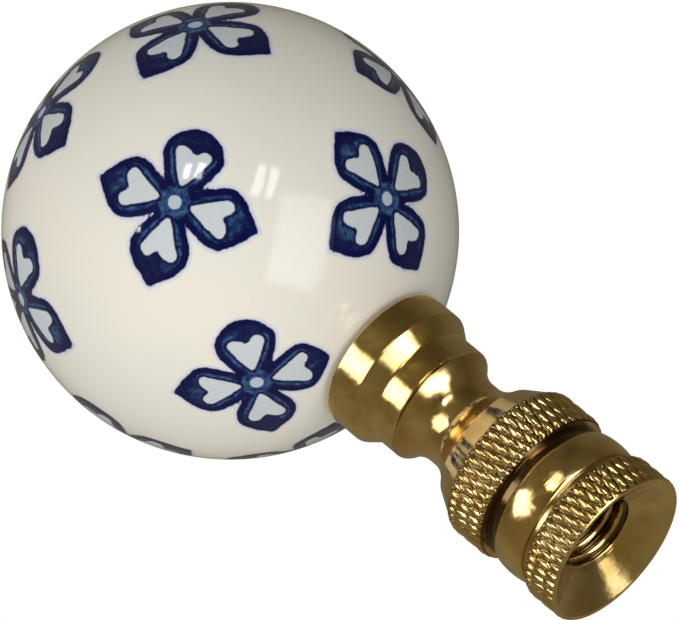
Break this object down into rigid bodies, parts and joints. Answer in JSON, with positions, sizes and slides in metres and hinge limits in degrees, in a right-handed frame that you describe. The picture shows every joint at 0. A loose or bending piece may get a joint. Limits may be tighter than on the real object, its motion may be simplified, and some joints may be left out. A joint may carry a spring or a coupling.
{
  "type": "lamp shade finial",
  "caption": "Porcelain ball with painted blue blossoms on a turned, knurled brass base that screws onto a lamp harp.",
  "frame": {"origin": "centre of the base's underside, in the plane of the rim that the finial rests on", "axes": "+Z along the axis of the turned shape, from the threaded hole towards the ball"},
  "size_m": [0.034, 0.034, 0.0577],
  "materials": {
    "glazed_porcelain": "glossy glaze over cobalt blue painted blossoms on ivory",
    "turned_brass": "turned and lightly polished brass with diamond knurled bands"
  },
  "bodies": {
    "root": {"porcelain_ball": "glazed_porcelain", "brass_base": "turned_brass"}
  },
  "joints": []
}
